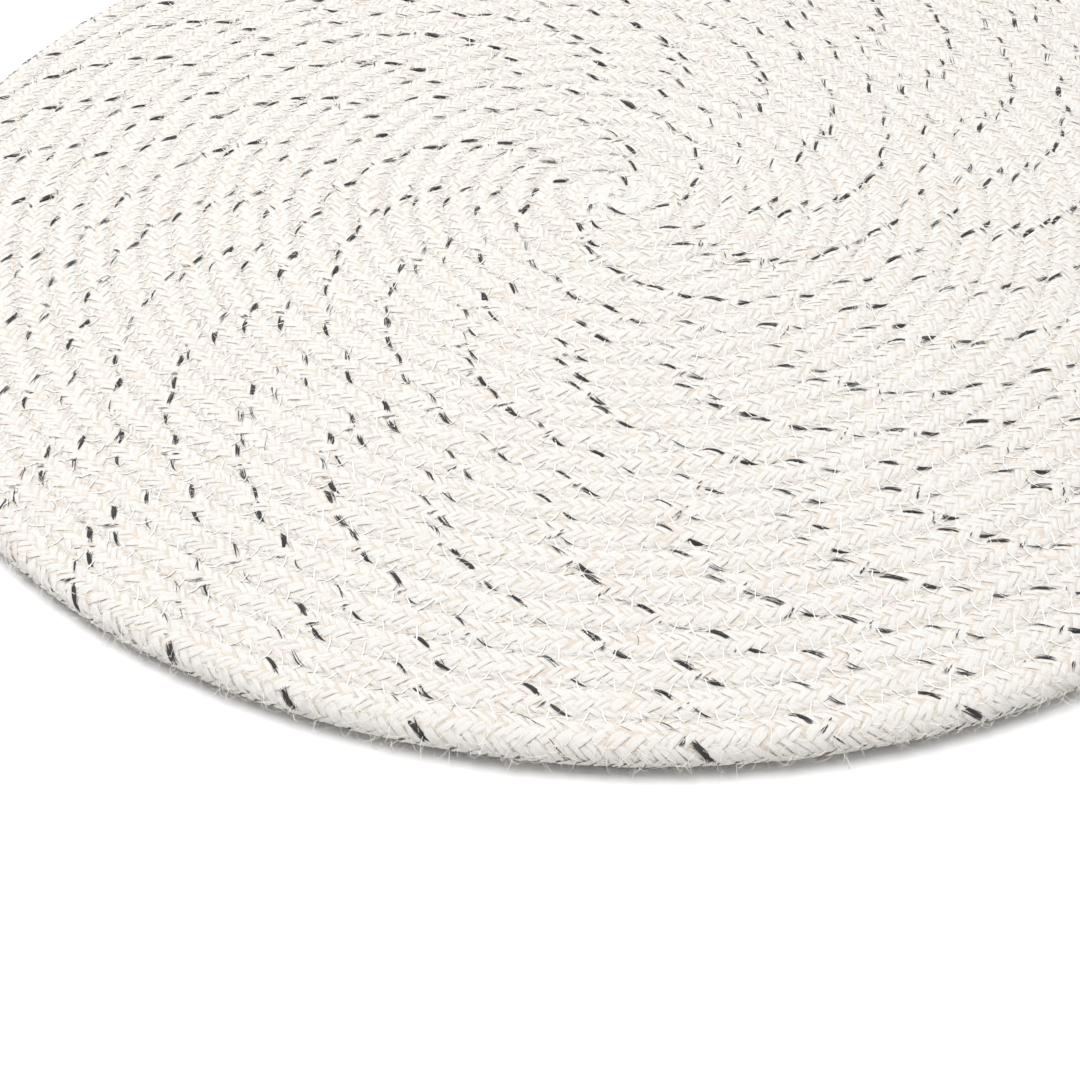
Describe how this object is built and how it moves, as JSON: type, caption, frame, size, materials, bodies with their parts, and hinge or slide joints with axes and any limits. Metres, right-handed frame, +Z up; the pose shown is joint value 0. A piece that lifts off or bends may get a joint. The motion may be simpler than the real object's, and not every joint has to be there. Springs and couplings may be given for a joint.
{
  "type": "fabric placemat",
  "caption": "Round flat placemat of pale braided cord with dark flecks, coiled in a spiral and sewn turn to turn, to lie under a plate or bowl.",
  "frame": {"origin": "middle of the mat's bounding box, on the plane it rests on", "axes": "+Z up out of the table, +X to the right and +Y away from the viewer of the picture"},
  "size_m": [0.3786, 0.381, 0.0074],
  "materials": {
    "cotton_cord": "matt braided cotton, off-white with one charcoal yarn"
  },
  "bodies": {
    "root": {"coiled_mat": "cotton_cord"}
  },
  "joints": []
}
